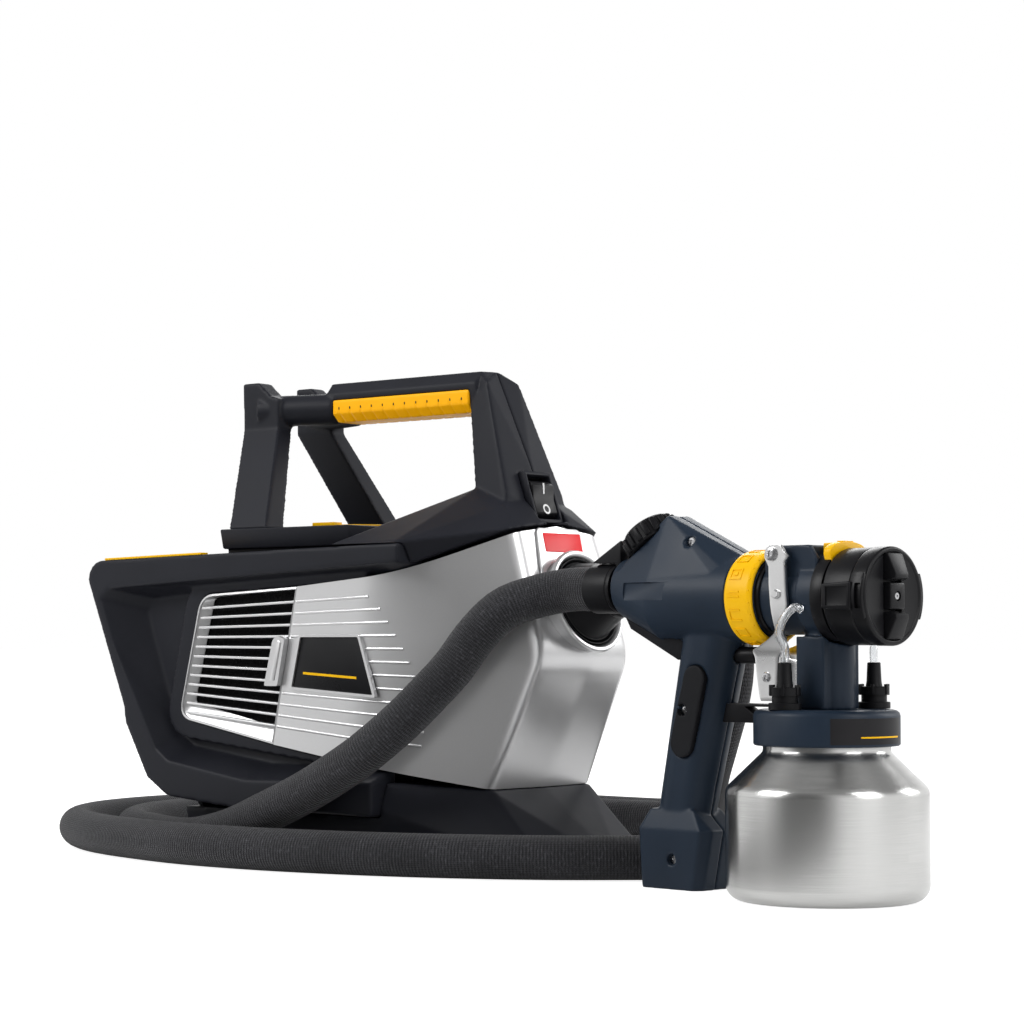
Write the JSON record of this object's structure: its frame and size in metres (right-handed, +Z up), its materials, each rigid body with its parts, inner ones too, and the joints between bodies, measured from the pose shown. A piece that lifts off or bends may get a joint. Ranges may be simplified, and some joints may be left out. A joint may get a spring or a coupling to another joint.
{
  "type": "air turbine paint sprayer",
  "caption": "Floor-standing low-pressure paint sprayer: silver-fronted air turbine case with carry handle, long free hose, and spray gun on an aluminium paint cup.",
  "frame": {"origin": "on the floor, under the middle of the box round the case and the gun, without the hose", "axes": "+X the way the case's front and the gun point, +Y the case's left side, +Z up"},
  "size_m": [0.7759, 0.4607, 0.3335],
  "materials": {
    "charcoal_shell": "matt, fine grained",
    "rubber_foot": "matt",
    "silver_cover": "satin silver lacquer on plastic",
    "yellow_ring": "satin",
    "yellow_grip": "satin",
    "red_plate": "glossy",
    "dark_plate": "satin",
    "black_plastic": "satin",
    "filter_foam": "open foam",
    "steel": "machined",
    "fan_alloy": "as cast",
    "slate_shell": "matt, fine grained",
    "trigger_alloy": "polished",
    "cup_alloy": "brushed round",
    "clear_tube": "clear soft plastic",
    "hose_fabric": "woven cover"
  },
  "bodies": {
    "sprayer": {"base_pan": "charcoal_shell", "rubber_feet": "rubber_foot", "side_frame_right": "charcoal_shell", "side_frame_left": "charcoal_shell", "rear_panel": "charcoal_shell", "top_deck": "charcoal_shell", "front_shroud": "silver_cover", "red_plate": "red_plate", "name_plates": "dark_plate", "socket_ring": "silver_cover", "socket_sleeve": "black_plastic", "handle_right": "charcoal_shell", "handle_left": "charcoal_shell", "grip_inlay": "yellow_grip", "switch_bezel": "charcoal_shell", "filter_foams": "filter_foam", "blower_housing": "black_plastic", "motor_can": "steel", "bearings": "steel", "mount_bushes": "rubber_foot", "outlet_duct": "black_plastic", "cord_inlet": "black_plastic", "deck_strips": "yellow_ring", "case_screws": "steel", "gun_right": "slate_shell", "gun_left": "slate_shell", "grip_pads": "rubber_foot", "gun_tang": "rubber_foot", "trigger_stop": "black_plastic", "gun_hook": "black_plastic", "gun_inlet": "black_plastic", "gun_screws": "steel", "spray_head": "slate_shell", "trigger_pins": "steel", "needle_spring": "steel", "nozzle": "steel", "cup_lid": "slate_shell", "lid_seal": "rubber_foot", "riser_tube": "steel", "vent_tubes": "clear_tube", "check_valves": "black_plastic", "hose": "hose_fabric", "hose_cuff_unit": "black_plastic", "hose_cuff_gun": "black_plastic"},
    "power_rocker": {"rocker": "black_plastic"},
    "vent_door_right": {"vent_cover_right": "silver_cover", "clip_right": "silver_cover"},
    "vent_door_left": {"vent_cover_left": "silver_cover", "clip_left": "silver_cover"},
    "storage_cap": {"storage_lid": "charcoal_shell", "lid_ring": "yellow_ring"},
    "rotor": {"rotor_shaft": "steel", "impellers": "fan_alloy"},
    "trigger_lever": {"trigger": "trigger_alloy"},
    "fluid_needle": {"needle": "steel"},
    "flow_dial": {"flow_knob": "black_plastic"},
    "locking_ring": {"lock_ring": "yellow_ring"},
    "spray_cap": {"air_cap": "black_plastic"},
    "width_selector": {"width_lever": "yellow_ring"},
    "paint_cup": {"cup": "cup_alloy"}
  },
  "joints": [
    {"name": "power_switch", "type": "hinge", "parent": "sprayer", "child": "power_rocker", "pos_m": [0.00394, 0.0113, 0.24139], "axis": [0, -1, 0], "range_deg": [0, 16]},
    {"name": "vent_hinge_right", "type": "hinge", "parent": "sprayer", "child": "vent_door_right", "pos_m": [-0.244, -0.0747, 0.104], "axis": [-0.2492, 0, -0.9684], "range_deg": [0, 60]},
    {"name": "vent_hinge_left", "type": "hinge", "parent": "sprayer", "child": "vent_door_left", "pos_m": [-0.244, 0.0973, 0.104], "axis": [0.2492, 0, 0.9684], "range_deg": [0, 60]},
    {"name": "storage_cap_turn", "type": "hinge", "parent": "sprayer", "child": "storage_cap", "pos_m": [-0.153, 0.0113, 0.227], "axis": [0, 0, 1], "range_deg": [0, 60]},
    {"name": "rotor_spin", "type": "hinge", "parent": "sprayer", "child": "rotor", "pos_m": [-0.083, 0.0113, 0.122], "axis": [1, 0, 0], "continuous": true},
    {"name": "trigger_pivot", "type": "hinge", "parent": "sprayer", "child": "trigger_lever", "pos_m": [0.25405, -0.04591, 0.2], "axis": [0.0698, 0.9976, 0], "range_deg": [0, 10], "stiffness_Nm_per_rad": 3, "springref_deg": -5.73},
    {"name": "needle_slide", "type": "slide", "parent": "sprayer", "child": "fluid_needle", "axis": [-0.9976, 0.0698, 0], "range_m": [0, 0.0044], "deforming": ["needle_spring"]},
    {"name": "flow_dial_turn", "type": "hinge", "parent": "sprayer", "child": "flow_dial", "pos_m": [0.14132, -0.03802, 0.213], "axis": [-0.6142, 0.043, 0.788], "range_deg": [0, 270]},
    {"name": "lock_ring_turn", "type": "hinge", "parent": "sprayer", "child": "locking_ring", "pos_m": [0.22911, -0.04416, 0.175], "axis": [0.9976, -0.0698, 0], "range_deg": [0, 40]},
    {"name": "spray_cap_turn", "type": "hinge", "parent": "sprayer", "child": "spray_cap", "pos_m": [0.30393, -0.04939, 0.175], "axis": [0.9976, -0.0698, 0], "range_deg": [-45, 45]},
    {"name": "width_selector_turn", "type": "hinge", "parent": "sprayer", "child": "width_selector", "pos_m": [0.28597, -0.04814, 0.175], "axis": [0.9976, -0.0698, 0], "range_deg": [-10, 10]},
    {"name": "cup_unscrew", "type": "hinge", "parent": "sprayer", "child": "paint_cup", "pos_m": [0.274, -0.0473, 0.095], "axis": [0, 0, 1], "range_deg": [0, 360]}
  ],
  "couplings": [
    {"joint": "needle_slide", "follows": "trigger_pivot", "m_per_rad": 0.0246}
  ]
}
